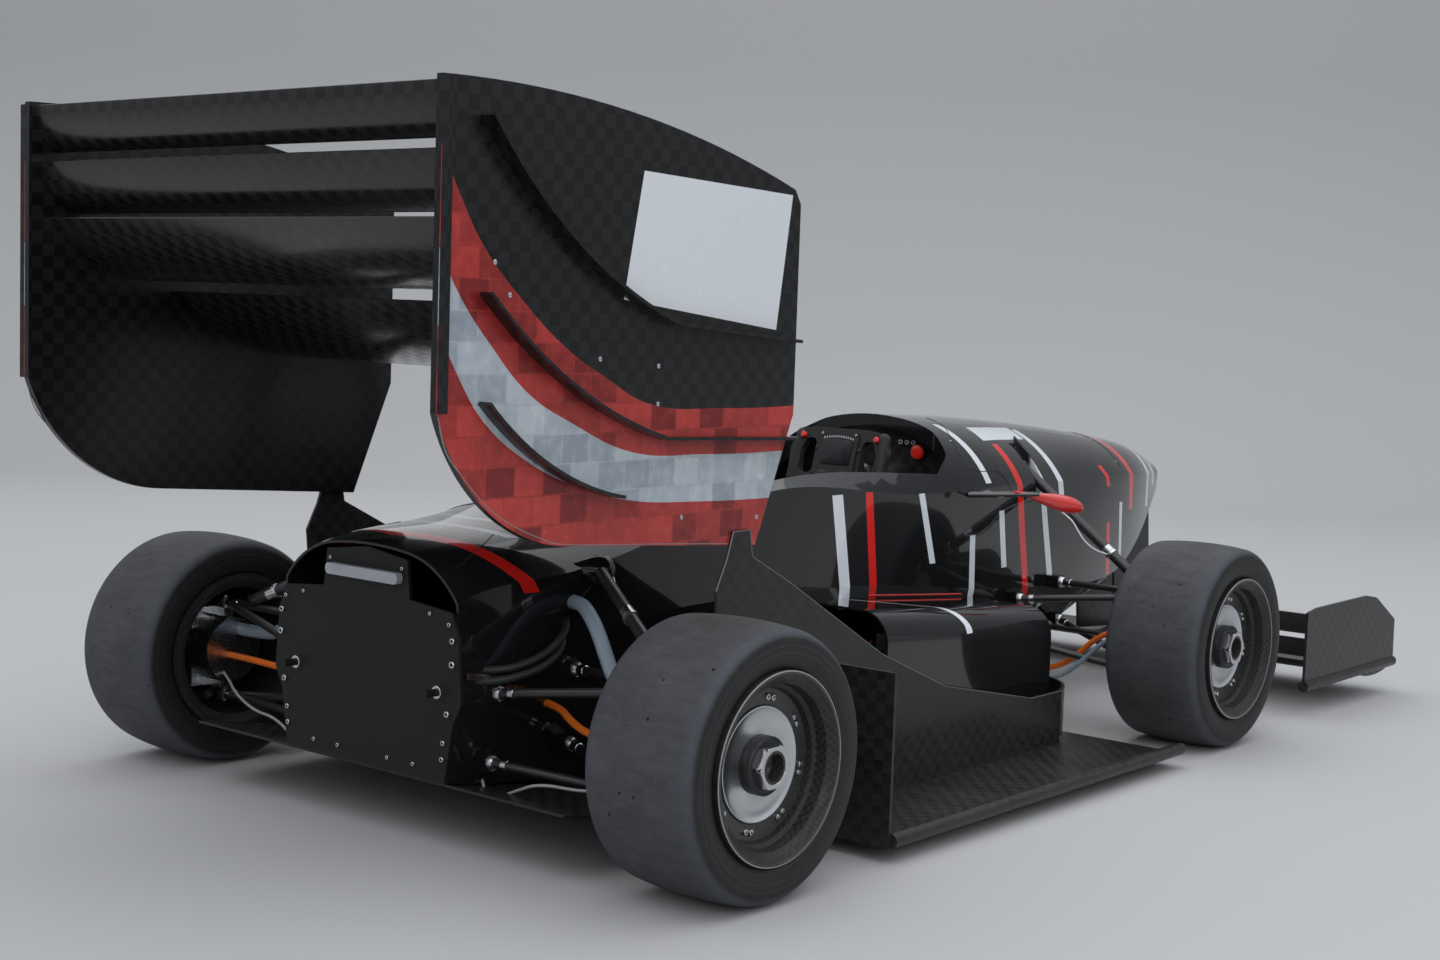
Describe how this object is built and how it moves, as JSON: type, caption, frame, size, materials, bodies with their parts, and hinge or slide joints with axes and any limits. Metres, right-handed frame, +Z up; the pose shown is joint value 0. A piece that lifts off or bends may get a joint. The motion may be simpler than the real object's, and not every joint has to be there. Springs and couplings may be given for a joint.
{
  "type": "open wheel racing car",
  "caption": "Single seat open wheel electric racing car with wings, sidepods, wheel motors, turning wheels and coupled steering.",
  "frame": {"origin": "centre of the car's footprint, on the ground", "axes": "+Y from the nose to the tail, +X to the car's left, +Z up"},
  "size_m": [1.448, 2.89, 1.1436],
  "materials": {
    "gloss_black": "gloss black lacquer with red and white stripes",
    "carbon": "satin woven carbon",
    "battery_case": "matt black case",
    "bare_aluminium": "machined aluminium",
    "seat_shell": "satin carbon shell",
    "matt_black": "matt black plate",
    "lamp_lens": "frosted pale grey lens",
    "hoop_paint": "black powder coat",
    "pad_cover": "black fabric",
    "wing_plate": "carbon with red and pale bands",
    "arm_black": "satin carbon tube",
    "grip_black": "matt grip",
    "mirror_red": "red lacquer",
    "cable_orange": "orange cable jacket",
    "hose_blue": "grey blue braided hose",
    "tyre_rubber": "worn slick rubber",
    "rim_black": "black rim with a bare machined centre"
  },
  "bodies": {
    "root": {"monocoque": "gloss_black", "nose_cone": "gloss_black", "rear_cover": "gloss_black", "firewall": "carbon", "dashboard": "carbon", "accumulator": "battery_case", "undertray": "carbon", "side_boards": "carbon", "tyre_walls": "carbon", "sidepod_left": "gloss_black", "sidepod_right": "gloss_black", "radiators": "bare_aluminium", "seat": "seat_shell", "rear_plate": "matt_black", "rear_lamp": "lamp_lens", "main_hoop": "hoop_paint", "head_pad": "pad_cover", "rear_wing_main": "carbon", "rear_wing_flaps": "carbon", "rear_wing_plate_left": "wing_plate", "rear_wing_plate_right": "wing_plate", "front_wing_main": "carbon", "front_wing_flaps": "carbon", "front_wing_plates": "carbon", "front_wing_pylons": "carbon", "front_upper_wishbones": "arm_black", "front_lower_wishbones": "arm_black", "rear_upper_wishbones": "arm_black", "rear_lower_wishbones": "arm_black", "front_pushrods": "arm_black", "rear_pushrods": "arm_black", "rear_uprights": "bare_aluminium", "steering_column": "bare_aluminium", "rack_housing": "bare_aluminium", "mirrors": "mirror_red", "motor_cables": "cable_orange", "coolant_hoses": "hose_blue"},
    "steering_wheel": {"steering_wheel": "grip_black"},
    "steering_rack": {"steering_rack": "arm_black"},
    "knuckle_left": {"front_knuckle_left": "bare_aluminium"},
    "knuckle_right": {"front_knuckle_right": "bare_aluminium"},
    "wheel_front_left": {"tyre_front_left": "tyre_rubber", "rim_front_left": "rim_black"},
    "wheel_front_right": {"tyre_front_right": "tyre_rubber", "rim_front_right": "rim_black"},
    "wheel_rear_left": {"tyre_rear_left": "tyre_rubber", "rim_rear_left": "rim_black"},
    "wheel_rear_right": {"tyre_rear_right": "tyre_rubber", "rim_rear_right": "rim_black"}
  },
  "joints": [
    {"name": "steering", "type": "hinge", "parent": "root", "child": "steering_wheel", "pos_m": [0, -0.107, 0.549], "axis": [0, 0.9613, 0.2756], "range_deg": [-110, 110]},
    {"name": "rack_slide", "type": "slide", "parent": "root", "child": "steering_rack", "axis": [1, 0, 0], "range_m": [-0.0269, 0.0269]},
    {"name": "knuckle_left_steer", "type": "hinge", "parent": "root", "child": "knuckle_left", "pos_m": [0.545, -0.54, 0.205], "axis": [0, 0, 1], "range_deg": [-22.1, 22.1]},
    {"name": "knuckle_right_steer", "type": "hinge", "parent": "root", "child": "knuckle_right", "pos_m": [-0.545, -0.54, 0.205], "axis": [0, 0, 1], "range_deg": [-22.1, 22.1]},
    {"name": "wheel_front_left_spin", "type": "hinge", "parent": "knuckle_left", "child": "wheel_front_left", "pos_m": [0.6, -0.54, 0.205], "axis": [1, 0, 0], "continuous": true},
    {"name": "wheel_front_right_spin", "type": "hinge", "parent": "knuckle_right", "child": "wheel_front_right", "pos_m": [-0.6, -0.54, 0.205], "axis": [1, 0, 0], "continuous": true},
    {"name": "wheel_rear_left_spin", "type": "hinge", "parent": "root", "child": "wheel_rear_left", "pos_m": [0.62, 0.99, 0.205], "axis": [1, 0, 0], "continuous": true},
    {"name": "wheel_rear_right_spin", "type": "hinge", "parent": "root", "child": "wheel_rear_right", "pos_m": [-0.62, 0.99, 0.205], "axis": [1, 0, 0], "continuous": true}
  ],
  "couplings": [
    {"joint": "knuckle_left_steer", "follows": "steering", "ratio": 0.2},
    {"joint": "knuckle_right_steer", "follows": "steering", "ratio": 0.2},
    {"joint": "rack_slide", "follows": "steering", "m_per_rad": 0.014}
  ]
}
